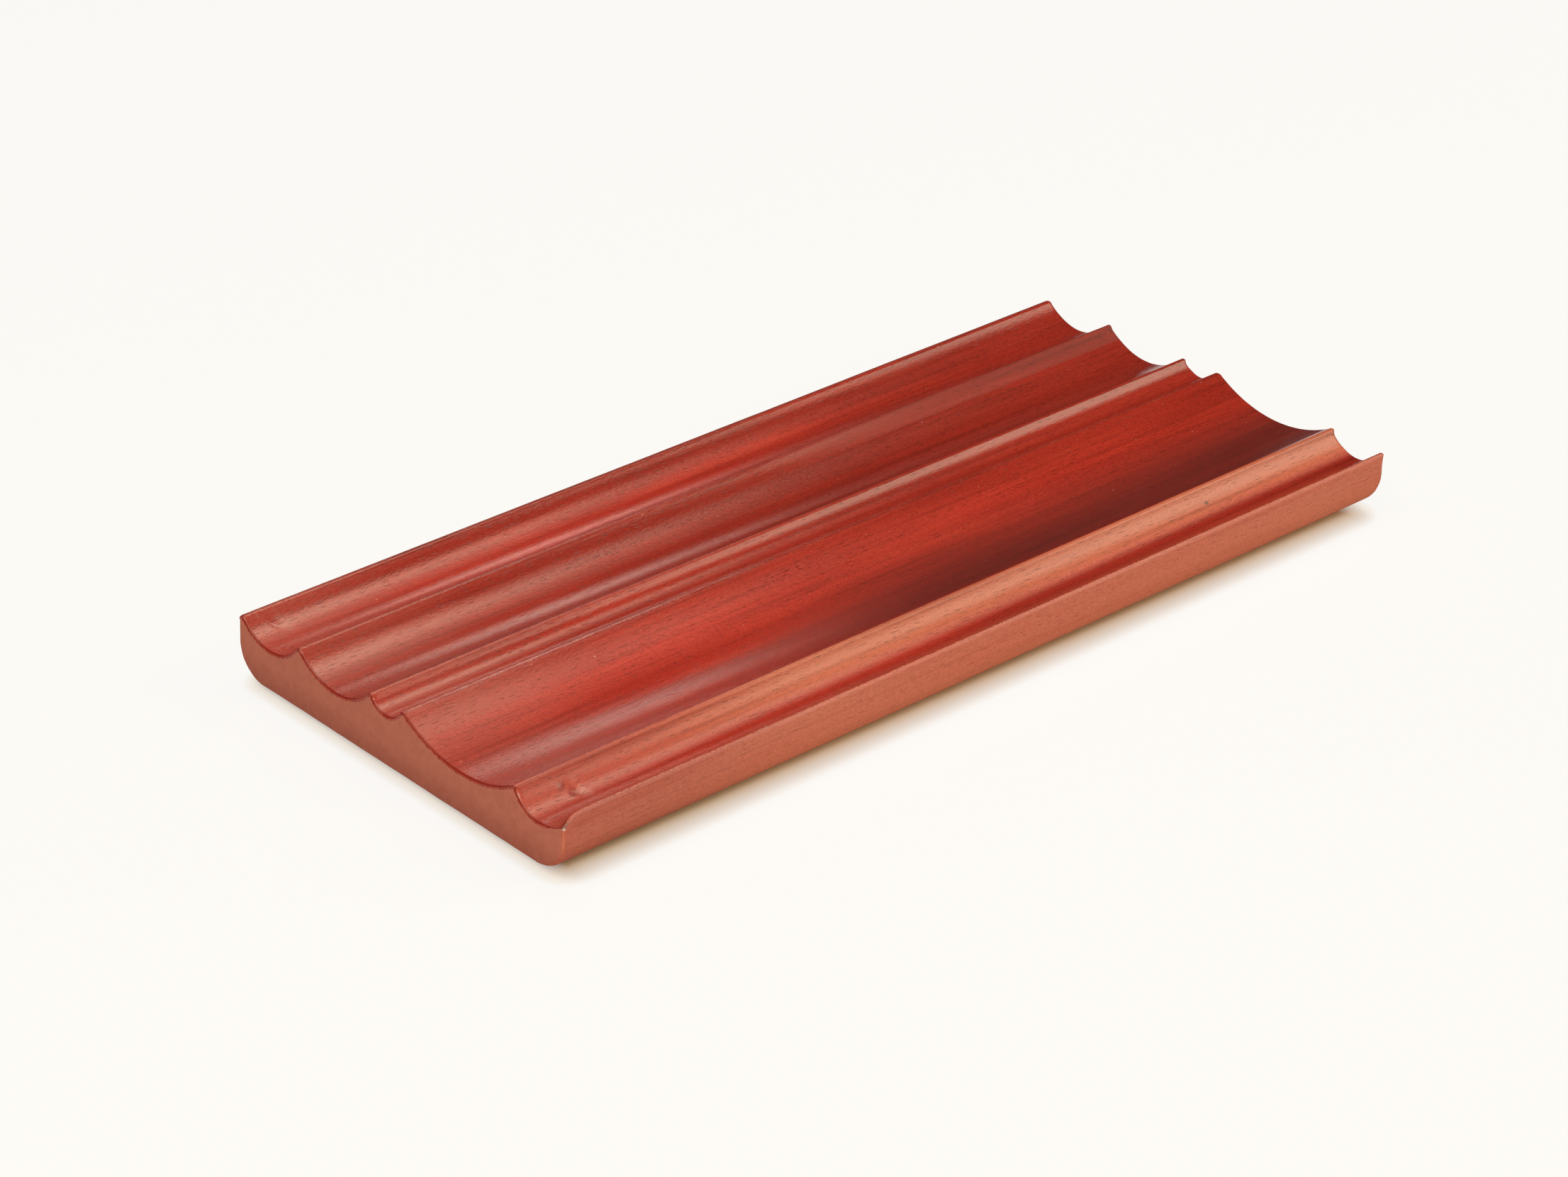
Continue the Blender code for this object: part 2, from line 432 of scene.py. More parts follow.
def sanded(sizes, places, normals, weight):
    """Takes the surface down a little, by hand sanding, nicks and dents."""
    middle, broad, small = WAVE_SHARES
    waves = broad * rough_field(places, *BROAD_WAVES) + small * rough_field(places, *SMALL_WAVES)
    down = sizes.waviness * (middle + waves)
    nicks = np.clip(rough_field(places, *NICKS) - NICK_START, 0, None)
    down += sizes.crest_nicks * 2 * nicks * weight[None, :]
    from_left, from_right = places[:, :, 0] - LOW.x, HIGH.x - places[:, :, 0]
    upper = np.clip(normals[:, 1] * TOP_GROWTH, 0, 1)[None, :]
    for dent in DENTS:
        x, y = from_left / MM - dent.along, places[:, :, 1] / MM - dent.y
        along = (x * math.cos(dent.turn) + y * math.sin(dent.turn)) / dent.length
        across = (y * math.cos(dent.turn) - x * math.sin(dent.turn)) / dent.width
        down += dent.depth * MM * np.exp(-(along**2) - across**2) * upper
    fade = np.clip(np.minimum(from_left, from_right) / END_FADE, 0, 1)
    sunk = places.copy()
    sunk[:, :, 1:] -= normals[None] * (down * fade)[:, :, None]
    return sunk


def lofted(places, name):
    """A closed mesh over the rings, with a flat face at each end."""
    count, around, _ = places.shape
    index = np.arange(count * around).reshape(count, around)
    following = np.roll(index, -1, axis=1)
    quads = np.stack([index[:-1], index[1:], following[1:], following[:-1]], -1).reshape(-1, 4)
    faces = quads.tolist() + [index[0].tolist(), index[-1, ::-1].tolist()]
    mesh = bpy.data.meshes.new(name)
    mesh.from_pydata(places.reshape(-1, 3).tolist(), [], faces)
    mesh.update()
    return mesh


def lay_out(mesh, places):
    """Unrolls the surface into one flat map, in true proportion, and returns the map's side in metres."""
    count, around, _ = places.shape
    steps = np.linalg.norm(np.diff(places, axis=0), axis=2).max(1)
    along = np.concatenate([[0.0], np.cumsum(steps)])
    ring = places[count // 2]
    steps = np.linalg.norm(np.roll(ring, -1, axis=0) - ring, axis=1)
    across = np.concatenate([[0.0], np.cumsum(steps)])
    _, width, height = HIGH - LOW
    side = max(along[-1], across[-1] + MAP_GAP + height) + 2 * MAP_GAP
    layer = mesh.uv_layers.new(name=SURFACE_MAP)

    corners = np.zeros((len(mesh.loops), 2))
    quads = (count - 1) * around
    r = np.repeat(np.arange(count - 1), around)
    i = np.tile(np.arange(around), count - 1)
    u = np.stack([along[r], along[r + 1], along[r + 1], along[r]], 1).ravel()
    v = np.stack([across[i], across[i], across[i + 1], across[i + 1]], 1).ravel()
    corners[: quads * 4] = np.stack([u, v], 1)
    for end, ring in enumerate((places[0], places[-1, ::-1])):
        begin = quads * 4 + end * around
        corners[begin : begin + around, 0] = ring[:, 1] - LOW.y + end * (width + MAP_GAP)
        corners[begin : begin + around, 1] = ring[:, 2] - LOW.z + across[-1] + MAP_GAP
    layer.uv.foreach_set("vector", ((corners + MAP_GAP) / side).ravel())
    return side


# Nodes

NODE_STEP = (240, -260)
NODES_A_COLUMN = 6

# Places of a Mix node's amount, its two colours and its resulting colour
MIX_INPUTS = (0, 6, 7)
MIX_RESULT = 2


def feed(tree, node, inputs):
    """Links each input of a node to another node's socket, or sets it to a plain value."""
    for key, value in inputs.items():
        if isinstance(value, bpy.types.NodeSocket):
            tree.links.new(value, node.inputs[key])
        else:
            node.inputs[key].default_value = value


def add(tree, kind, inputs=None, **settings):
    """A new node, with its settings and its inputs."""
    made = tree.nodes.new(kind)
    column, row = divmod(len(tree.nodes), NODES_A_COLUMN)
    made.location = (NODE_STEP[0] * column, NODE_STEP[1] * row)
    for name, value in settings.items():
        setattr(made, name, value)
    feed(tree, made, inputs or {})
    return made


def calc(tree, operation, *values):
    """The result of a Math node."""
    return add(tree, "ShaderNodeMath", dict(enumerate(values)), operation=operation).outputs[0]


def scaled(tree, value, gain, more):
    """A value times a gain, plus some more."""
    return calc(tree, "MULTIPLY_ADD", value, gain, more)


def vector(tree, operation, *values):
    """The vector from a Vector Math node."""
    return add(tree, "ShaderNodeVectorMath", dict(enumerate(values)), operation=operation).outputs["Vector"]


def measure(tree, operation, *values):
    """The plain value from a Vector Math node."""
    return add(tree, "ShaderNodeVectorMath", dict(enumerate(values)), operation=operation).outputs["Value"]


def steps_up(tree, value, low, high):
    """0 below low and 1 above high, with a smooth step between, or the reverse where low is larger."""
    inputs = {"Value": value, "From Min": low, "From Max": high}
    return add(tree, "ShaderNodeMapRange", inputs, interpolation_type="SMOOTHSTEP").outputs["Result"]


def blend(tree, amount, first, second, mode="MIX"):
    """Two colours mixed by an amount from 0 to 1."""
    made = add(tree, "ShaderNodeMix", data_type="RGBA", blend_type=mode)
    for key, value in zip(MIX_INPUTS, (amount, first, second)):
        plain_colour = not isinstance(value, (bpy.types.NodeSocket, float))
        feed(tree, made, {key: (*value, 1.0) if plain_colour else value})
    return made.outputs[MIX_RESULT]


def toned(tree, amount, tone, by):
    """A colour multiplied by another one, as far as the amount from 0 to 1 says."""
    return blend(tree, amount, tone, by, "MULTIPLY")


def product(tree, *values):
    """Values multiplied together."""
    result = values[0]
    for value in values[1:]:
        result = calc(tree, "MULTIPLY", result, value)
    return result


def zone(tree, at, steps):
    """1 in a zone of the block and 0 outside it. Each step says how it sets in along one axis."""
    return product(tree, *(steps_up(tree, at[axis], MM * low, MM * high) for axis, low, high in steps))


def new_group(name, places, values, output):
    """An empty node group with its named sockets, and its input and output nodes."""
    tree = bpy.data.node_groups.new(name, "ShaderNodeTree")
    for socket in places:
        tree.interface.new_socket(socket, in_out="INPUT", socket_type="NodeSocketVector")
    for socket, default in values.items():
        made = tree.interface.new_socket(socket, in_out="INPUT", socket_type="NodeSocketFloat")
        made.default_value = default
    tree.interface.new_socket(output, in_out="OUTPUT", socket_type="NodeSocketFloat")
    return tree, add(tree, "NodeGroupInput").outputs, add(tree, "NodeGroupOutput").inputs[output]


def use(tree, make, **inputs):
    """The result of a shared node group, made at its first use. Its spaces are written as _."""
    made = add(tree, "ShaderNodeGroup", node_tree=bpy.data.node_groups.get(make.__name__) or make())
    feed(tree, made, {name.replace("_", " "): value for name, value in inputs.items()})
    return made.outputs[0]


def stretched(tree, given):
    """A group's place, counted in its lengths along the grain and its widths across it."""
    width = given["Width"]
    scale = add(tree, "ShaderNodeCombineXYZ", {"X": given["Length"], "Y": width, "Z": width})
    return vector(tree, "DIVIDE", given["Place"], scale.outputs[0])


def grain_streaks():
    """Long soft streaks along the grain, from 0 to 1."""
    inputs = {"Length": 30 * MM, "Width": 2 * MM, "Low": 0.4, "High": 0.6, "Seed": 0.0}
    tree, given, result = new_group("grain_streaks", ("Place",), inputs, "Streaks")
    inputs = {"Vector": stretched(tree, given), "W": given["Seed"], "Scale": 1.0, "Detail": 3.0}
    inputs |= {"Roughness": 0.55}
    pattern = add(tree, "ShaderNodeTexNoise", inputs, noise_dimensions="4D").outputs[0]
    tree.links.new(steps_up(tree, pattern, given["Low"], given["High"]), result)
    return tree


def flecks():
    """Short dashes along the grain, each in a cell of its own, some cells left empty."""
    inputs = {"Gap Along": 4 * MM, "Gap Across": 1 * MM, "Length": 2.4 * MM, "Width": 0.22 * MM}
    inputs |= {"Amount": 0.7, "Softness": 0.5}
    tree, given, result = new_group("flecks", ("Place", "Shift"), inputs, "Flecks")
    cell = add(tree, "ShaderNodeCombineXYZ", {"X": given["Gap Along"], "Y": given["Gap Across"], "Z": 1.0})
    place = vector(tree, "ADD", given["Place"], given["Shift"])
    place = vector(tree, "DIVIDE", place, cell.outputs[0])
    inputs = {"Vector": place, "Scale": 1.0}
    cells = add(tree, "ShaderNodeTexVoronoi", inputs, voronoi_dimensions="2D")
    chance = add(tree, "ShaderNodeSeparateColor", {"Color": cells.outputs["Color"]}).outputs
    off = vector(tree, "SUBTRACT", place, cells.outputs["Position"])
    off = vector(tree, "MULTIPLY", off, cell.outputs[0])
    off = add(tree, "ShaderNodeSeparateXYZ", {"Vector": off}).outputs
    lean = calc(tree, "MULTIPLY", calc(tree, "SUBTRACT", chance["Green"], 0.5), FLECK_LEAN)
    across = scaled(tree, off["X"], lean, off["Y"])
    grow = scaled(tree, chance["Blue"], FLECK_GROWTH, FLECK_SHORTEST)
    half_length = product(tree, given["Length"], 0.5, grow)
    half_width = calc(tree, "MULTIPLY", given["Width"], 0.5)
    shares = {"X": calc(tree, "DIVIDE", off["X"], half_length), "Y": calc(tree, "DIVIDE", across, half_width)}
    ellipse = add(tree, "ShaderNodeCombineXYZ", shares).outputs[0]
    mask = steps_up(tree, measure(tree, "LENGTH", ellipse), 1.0, given["Softness"])
    there = calc(tree, "LESS_THAN", chance["Red"], given["Amount"])
    strength = scaled(tree, chance["Green"], 1 - FLECK_FAINTEST, FLECK_FAINTEST)
    tree.links.new(product(tree, mask, there, strength), result)
    return tree


def fine_fibres():
    """Fine hair-thin lines, from 0 to 1."""
    inputs = {"Length": 0.9 * MM, "Width": 0.09 * MM}
    tree, given, result = new_group("fine_fibres", ("Place",), inputs, "Fibres")
    inputs = {"Vector": stretched(tree, given), "Scale": 1.0, "Detail": 2.0}
    tree.links.new(add(tree, "ShaderNodeTexNoise", inputs).outputs[0], result)
    return tree


def new_material(name):
    """A new material, with its node tree and its shader."""
    material = bpy.data.materials.new(name)
    material.use_nodes = True
    return material, material.node_tree, material.node_tree.nodes["Principled BSDF"]


def surface_place(tree, side):
    """The place on the unrolled surface in metres, X along the grain and Y across it."""
    unrolled = add(tree, "ShaderNodeUVMap", uv_map=SURFACE_MAP).outputs["UV"]
    return vector(tree, "MULTIPLY", unrolled, (side, side, side))


def below_grooves(tree, place, grooves):
    """How deep a place lies under the nearest groove's surface, in metres."""
    flat = vector(tree, "MULTIPLY", place, (0.0, 1.0, 1.0))
    nearest = None
    for groove in grooves:
        far = measure(tree, "DISTANCE", flat, (0.0, groove.y, groove.z))
        depth = calc(tree, "SUBTRACT", far, groove.radius)
        nearest = depth if nearest is None else calc(tree, "MINIMUM", nearest, depth)
    return nearest


def between(axis, low, high, fade):
    """The steps of a zone between two places along an axis, each with its fade."""
    return (axis, low - fade, low + fade), (axis, high + fade, high - fade)


def patched(tree, at, patches, tone):
    """The tone with the patches where it is paler or deeper."""
    for patch in patches:
        steps = between("Y", *patch.y, FADE_ACROSS)
        if patch.x != EVERYWHERE:
            steps += between("X", *patch.x, FADE_ALONG)
        tone = toned(tree, zone(tree, at, steps), tone, (patch.gain,) * 3)
    return tone


def spotted(tree, solid, tone):
    """The tone with its small spots, each soft at its edge."""
    for spot in SPOTS:
        far = measure(tree, "DISTANCE", solid, tuple(MM * part for part in spot.place))
        mask = steps_up(tree, far, SPOT_OUTER * spot.reach * MM, SPOT_INNER * spot.reach * MM)
        tone = toned(tree, mask, tone, spot.gain)
    return tone


def streaked(tree, place, streak):
    """Long streaks of one of the kinds below, from 0 to 1."""
    return use(tree, grain_streaks, Place=place, **streak._asdict())


def flecked(tree, place, fleck):
    """Short dashes of one of the kinds below, from 0 to 1."""
    return use(tree, flecks, Place=place, **fleck._asdict())


# Materials

# Shape of a fleck: how much it may lean, how its length varies, and its least strength
FLECK_LEAN = 0.12
FLECK_GROWTH = 0.9
FLECK_SHORTEST = 0.45
FLECK_FAINTEST = 0.4

# Kinds of long streaks and of short dashes, with the values that their groups take
Streak = namedtuple("Streak", "Length Width Low High Seed")
BROAD = Streak(70 * MM, 5 * MM, 0.27, 0.73, 3.0)
WARM = Streak(45 * MM, 1.9 * MM, 0.5, 0.75, 8.0)
GROWTH = Streak(60 * MM, 0.9 * MM, 0.5, 0.66, 21.0)
GATHERED = Streak(26 * MM, 2.4 * MM, 0.35, 0.6, 14.0)
BROKEN = Streak(6 * MM, 0.6 * MM, 0.35, 0.6, 5.0)
Fleck = namedtuple("Fleck", "Shift Gap_Along Gap_Across Length Width Amount Softness")
LARGE = Fleck((0.0, 0.0, 0.0), 3 * MM, 0.85 * MM, 2.3 * MM, 0.2 * MM, 0.75, 0.35)
SMALL = Fleck((0.31, 0.17, 0.0), 1.5 * MM, 0.42 * MM, 1.1 * MM, 0.1 * MM, 0.7, 0.3)
RAYS = Fleck((0.07, 0.41, 0.0), 1.3 * MM, 0.4 * MM, 0.8 * MM, 0.14 * MM, 0.5, 0.2)
SPECKS = Fleck((0.53, 0.29, 0.0), 13 * MM, 9 * MM, 0.26 * MM, 0.17 * MM, 0.4, 0.5)

# Zones of the block, as steps: an axis, and the two places in mm between which the zone sets in
SLOPE = (("Y", -38.4, -35.4), ("Y", -31.9, -32.6))
RIGHT_HALF = (("X", -50, 50),)
WIDE_GROOVE = (("X", -57, 11), ("Y", -31.4, -31), ("Y", -8, -22))
LEFT_HALF = (("X", -35, -90),)
LEFT_END = (("X", -60, -96),)
LOW_ON_FRONT = (("Z", 8, 3),)
LOW_ON_END = (("Z", 8, 1.5),)
HANDLED_AND_LIT = (("X", 30, -70),)
LIP_FRONT = (("Y", -44.8, -45.3),)
LIP_BACK = (("Y", -45.3, -45.1), ("Y", -44.75, -44.95))
LIP_CORNER = (("X", -99.5, -99.65), ("Y", -45, -45.4), ("Z", 4, 7))
LIP_END = (("X", -98, -99.2), ("Y", -42.6, -43.4))
RIM_TOP = (("Y", 44.2, 44.7),)
DULL_RIDGE = (("Y", 24, 25.6), ("Y", 30.8, 29.2), ("X", 0, 60))

# Patches where the colour is paler or deeper, as a gain within a range of X and of Y in mm
Patch = namedtuple("Patch", "x y gain")
EVERYWHERE = (-120, 120)
COLOUR_PATCHES = (
    Patch(EVERYWHERE, (-15.5, -8.5), 1.22),
    Patch(EVERYWHERE, (11, 29), 0.85),
    Patch((-120, 30), (34.8, 40.2), 1.2),
    Patch(EVERYWHERE, (42, 48), 0.86),
    Patch(EVERYWHERE, (44.9, 48), 0.5),
    Patch((-45, 15), (32, 37), 1.2),
    Patch((20, 120), (42.6, 44.6), 1.3),
    Patch((20, 75), (-9.5, -6.5), 1.2),
    Patch((70, 120), (22.5, 25.5), 1.2),
    Patch((-120, -84), (-15.5, -12), 0.82),
    Patch((-75, 48), (-18.6, -15.8), 1.22),
    Patch((-12, 20), (-15.5, -12.5), 0.85),
    Patch((70, 120), (-15.5, -6.5), 0.87),
    Patch((-45, -8), (-9.5, -6.5), 1.14),
)
SLOPE_PATCHES = (Patch((20, 120), (-38.4, -36.2), 1.22),)
FADE_ALONG = 10.0
FADE_ACROSS = 0.8

# Small spots on the block, each at a place in mm, with its reach and what it does to the colour
Spot = namedtuple("Spot", "place reach gain")
SPOTS = (
    Spot((62.8, -35, 11.2), 0.45, (0.35, 0.45, 0.5)),
    Spot((-99.7, -45.9, 11.2), 0.3, (1.3, 3.4, 5)),
    Spot((-99.4, -31.6, 13), 0.7, (1.2, 2.4, 2.6)),
    Spot((-61, -6.3, 12.1), 0.4, (1.5, 6, 8)),
    Spot((-91.6, -34.9, 11.3), 0.9, (0.74, 0.62, 0.62)),
    Spot((-90.2, -36.4, 10.4), 1, (0.74, 0.62, 0.62)),
    Spot((-88.2, -37.6, 10), 1.3, (1.08, 1.6, 1.8)),
    Spot((-93.4, 41, 11), 2.2, (1.05, 1.4, 1.5)),
)
SPOT_OUTER = 1.3
SPOT_INNER = 0.6

# What multiplies the stain's colour in its places. The right half, wide groove, low left and low end tones
# are painted shade
RIGHT_HALF_SHADE_TONE = (0.86,) * 3
WIDE_GROOVE_SHADE_TONE = (0.50, 0.34, 0.32)
LEFT_TONE = (0.86, 0.82, 0.88)
LOW_LEFT_SHADE_TONE = (0.84, 0.80, 0.80)
LEFT_END_TONE = (0.92,) * 3
GROWTH_TONE = (0.5, 0.38, 0.38)
GRIT_TONE = (0.90, 0.89, 0.89)
LIP_BACK_TONE = (0.74, 0.58, 0.55)
LIP_END_TONE = (0.62, 0.8, 0.85)
STRIP_TONE = (0.6, 0.5, 0.5)
LOW_END_SHADE_TONE = (0.74, 0.66, 0.66)
MOTTLE_TONE = (0.93, 0.91, 0.91)
PORE_TONE = (0.88, 0.86, 0.86)

GRIT_STEP = 0.35 * MM
GRIT_ROUGHNESS = 0.16
LACQUER_WAVES = 0.028 * MM
LACQUER_TINT = (1.0, 0.97, 0.76, 1.0)
MARK_STEPS = (1.0, 0.26 * MM, 1.6 * MM)


def stained_tone(tree, finish, flat, fine, at):
    """The stain over the block, with painted shade and sheen in places, and the masks of the outside, the
    slope and the wide groove.
    """
    broad = streaked(tree, flat, BROAD)
    tone = blend(tree, broad, finish.deep, finish.middle)
    tone = blend(tree, product(tree, streaked(tree, flat, WARM), 0.45), tone, finish.bright)
    fibre = blend(tree, steps_up(tree, fine, 0.3, 0.7), finish.deep, finish.bright)
    tone = patched(tree, at, COLOUR_PATCHES, blend(tree, 0.30, tone, fibre))
    # Painted shade: the right half is darker
    tone = toned(tree, zone(tree, at, RIGHT_HALF), tone, RIGHT_HALF_SHADE_TONE)
    # Painted shade: the wide groove's front part is darker over its right half
    wide_groove = zone(tree, at, WIDE_GROOVE)
    tone = toned(tree, wide_groove, tone, WIDE_GROOVE_SHADE_TONE)

    # The outside and the slope behind the front groove are paler, partly as a thinner stain and partly as
    # painted sheen
    below_top = steps_up(tree, at["Z"], HIGH.z - 4.9 * MM, HIGH.z - 5.6 * MM)
    at_sides = steps_up(tree, calc(tree, "ABSOLUTE", at["Y"]), 45.4 * MM, 45.58 * MM)
    outside = calc(tree, "MAXIMUM", below_top, at_sides)
    slope = zone(tree, at, SLOPE)
    orange = blend(tree, slope, finish.outside, finish.slope)
    orange = blend(tree, product(tree, broad, 0.2), orange, finish.middle)
    left = zone(tree, at, LEFT_HALF)
    orange = toned(tree, left, orange, LEFT_TONE)
    # Painted shade: the outside's lower part is darker towards the left end
    orange = toned(tree, product(tree, left, zone(tree, at, LOW_ON_FRONT)), orange, LOW_LEFT_SHADE_TONE)
    orange = blend(tree, product(tree, left, slope, 0.6), orange, finish.middle)
    orange = patched(tree, at, SLOPE_PATCHES, orange)
    tone = blend(tree, calc(tree, "MAXIMUM", outside, slope), tone, orange)

    # Near the left end the top is evened towards the middle stain and paler, partly as sanding wear and
    # partly as painted sheen
    left_end = product(tree, zone(tree, at, LEFT_END), calc(tree, "SUBTRACT", 1.0, outside))
    tone = blend(tree, product(tree, left_end, 0.35), tone, finish.middle)
    tone = blend(tree, product(tree, left_end, 0.14), tone, finish.worn)
    tone = toned(tree, left_end, tone, LEFT_END_TONE)
    shown = scaled(tree, outside, -0.2, 0.4)
    tone = toned(tree, product(tree, streaked(tree, flat, GROWTH), shown), tone, GROWTH_TONE)
    return tone, outside, slope, wide_groove


def beech_flecks(tree, finish, flat, outside, tone):
    """The tone with the pale rays and the dark flecks of beech, and the mask of the large flecks."""
    gathered = scaled(tree, streaked(tree, flat, GATHERED), 0.5, 0.5)
    large, small, rays = (flecked(tree, flat, fleck) for fleck in (LARGE, SMALL, RAYS))
    clear = scaled(tree, outside, -0.4, 1.0)
    tone = toned(tree, rays, tone, finish.ray)
    tone = toned(tree, product(tree, small, clear, 0.9), tone, finish.fleck)
    tone = toned(tree, product(tree, large, gathered, clear), tone, finish.fleck)
    return tone, large


def worn_tone(tree, finish, solid, at, grit, tone):
    """The tone with its worn crests and the rubbed edges of the lip, both partly a painted highlight."""
    crest_top = add(tree, "ShaderNodeAttribute", attribute_name="crest").outputs["Fac"]
    broken = streaked(tree, solid, BROKEN)
    # Worn crests, partly a painted highlight, stronger towards the left
    wear_and_highlight = product(tree, steps_up(tree, crest_top, 0.965, 0.998), steps_up(tree, grit, 0.38, 0.6), broken)
    handled_and_lit = scaled(tree, zone(tree, at, HANDLED_AND_LIT), 0.35, 0.1)
    tone = blend(tree, product(tree, wear_and_highlight, handled_and_lit), tone, finish.worn)
    # The rubbed lines on the lip's edge and its front corner are partly a painted highlight
    lip = product(tree, steps_up(tree, crest_top, 0.8, 0.97), zone(tree, at, LIP_FRONT))
    tone = blend(tree, product(tree, lip, steps_up(tree, grit, 0.35, 0.6), 0.5), tone, finish.lip_line)
    lip_back = product(tree, zone(tree, at, LIP_BACK), steps_up(tree, crest_top, 0.4, 0.8))
    tone = toned(tree, lip_back, tone, LIP_BACK_TONE)
    corner = product(tree, zone(tree, at, LIP_CORNER), steps_up(tree, grit, 0.3, 0.5))
    tone = blend(tree, product(tree, corner, 0.45), tone, finish.lip_line)
    lip_end = product(tree, zone(tree, at, LIP_END), steps_up(tree, crest_top, 0.3, 0.7))
    return toned(tree, lip_end, tone, LIP_END_TONE)


def sawn_end(tree, finish, grooves, solid, at, tone):
    """The tone with the sawn end, where the stain runs over from the grooves in a dark ragged strip."""
    half = (HIGH.x - LOW.x) / 2
    from_end = calc(tree, "SUBTRACT", half, calc(tree, "ABSOLUTE", at["X"]))
    depth = below_grooves(tree, solid, grooves)
    marks_at = vector(tree, "DIVIDE", solid, MARK_STEPS)
    marks = add(tree, "ShaderNodeTexNoise", {"Vector": marks_at, "Scale": 1.0, "Detail": 1.0}).outputs[0]
    edge = scaled(tree, marks, 0.8 * MM, 0.12 * MM)
    on_end = steps_up(tree, from_end, 0.2 * MM, 0.05 * MM)
    sawn = product(tree, on_end, steps_up(tree, calc(tree, "SUBTRACT", depth, edge), 0.0, 0.12 * MM))

    rim = product(
        tree,
        steps_up(tree, from_end, 0.4 * MM, 0.25 * MM),
        steps_up(tree, at["Z"], HIGH.z - 6.0 * MM, HIGH.z - 5.0 * MM),
        steps_up(tree, calc(tree, "ABSOLUTE", at["Y"]), 45.6 * MM, 45.2 * MM),
    )
    tone = blend(tree, product(tree, rim, 0.8), tone, finish.rim)
    strip = toned(tree, steps_up(tree, marks, 0.5, 0.62), finish.strip, STRIP_TONE)
    tone = blend(tree, steps_up(tree, from_end, 0.12 * MM, 0.06 * MM), tone, strip)
    mottle = use(tree, fine_fibres, Place=solid, Length=3.5 * MM, Width=1.6 * MM)
    pores = use(tree, fine_fibres, Place=solid, Length=0.6 * MM, Width=0.12 * MM)
    # The end grain is darker towards the bottom, partly as painted shade from the table
    low = product(tree, zone(tree, at, LOW_ON_END), 0.8)
    grain = toned(tree, low, finish.end_grain, LOW_END_SHADE_TONE)
    grain = toned(tree, steps_up(tree, mottle, 0.35, 0.65), grain, MOTTLE_TONE)
    grain = toned(tree, steps_up(tree, pores, 0.5, 0.7), grain, PORE_TONE)
    return blend(tree, sawn, tone, grain), sawn


def beech_material(settings, side, name, shine):
    """Red-stained beech, with the specular level that its finish gives it."""
    finish = settings.finish
    material, tree, shader = new_material(name)
    solid = add(tree, "ShaderNodeTexCoord").outputs["Object"]
    flat = surface_place(tree, side)
    at = add(tree, "ShaderNodeSeparateXYZ", {"Vector": solid}).outputs
    fine = use(tree, fine_fibres, Place=flat)
    grit_inputs = {"Vector": solid, "Scale": 1 / GRIT_STEP, "Detail": 3.0}
    grit = add(tree, "ShaderNodeTexNoise", grit_inputs).outputs[0]

    tone, outside, slope, wide_groove = stained_tone(tree, finish, flat, fine, at)
    tone, large = beech_flecks(tree, finish, flat, outside, tone)
    tone = toned(tree, steps_up(tree, grit, 0.6, 0.4), tone, GRIT_TONE)
    tone = worn_tone(tree, finish, solid, at, grit, tone)
    tone = blend(tree, flecked(tree, flat, SPECKS), tone, finish.dust)
    tone = spotted(tree, solid, tone)
    tone, sawn = sawn_end(tree, finish, all_grooves(settings.block), solid, at, tone)

    rough = scaled(tree, grit, GRIT_ROUGHNESS, finish.roughness - GRIT_ROUGHNESS / 2)
    for place, more in (
        (slope, 0.1),
        (wide_groove, 0.42),
        (zone(tree, at, RIM_TOP), 0.3),
        (zone(tree, at, DULL_RIDGE), 0.4),
        (calc(tree, "MAXIMUM", sawn, outside), 0.5),
    ):
        rough = scaled(tree, place, more, rough)
    peel = use(tree, fine_fibres, Place=flat, Length=1.0 * MM, Width=0.42 * MM)
    height = scaled(tree, fine, 0.35, peel)
    height = scaled(tree, large, -0.4, height)
    bump = add(tree, "ShaderNodeBump", {"Height": height, "Distance": LACQUER_WAVES})
    feed(tree, shader, {"Base Color": tone, "Roughness": rough, "Normal": bump.outputs[0]})
    feed(tree, shader, {"IOR": 1.5, "Specular IOR Level": shine, "Specular Tint": LACQUER_TINT})
    return material


def felt_material(settings):
    """Dark pressed wool felt."""
    material, tree, shader = new_material("dark_wool_felt")
    solid = add(tree, "ShaderNodeTexCoord").outputs["Object"]
    hair = use(tree, fine_fibres, Place=solid, Length=0.8 * MM, Width=0.05 * MM)
    felt = settings.feet.felt
    pale = tuple(FELT_PALER * c for c in felt)
    tone = blend(tree, steps_up(tree, hair, 0.45, 0.8), felt, pale)
    bump = add(tree, "ShaderNodeBump", {"Height": hair, "Distance": 0.05 * MM}).outputs[0]
    feed(tree, shader, {"Base Color": tone, "Roughness": scaled(tree, hair, 0.1, 0.88), "Normal": bump})
    feed(tree, shader, {"Sheen Weight": 0.3})
    return material


# Pieces

# A face is bare where it looks along the block by more than this, or up by less than this
FACES_END = 0.75
FACES_OUT = 0.12

# Places of the block's materials in its mesh
LACQUERED, BARE, RUBBED = range(3)

FELT_RINGS = 14
FELT_SIDES = 96
FELT_LAYERS = 5
FELT_EDGE = 0.25 * MM
FELT_LUMPS = 6
FELT_LAYER_LUMPS = 3
FELT_PALER = 2.2


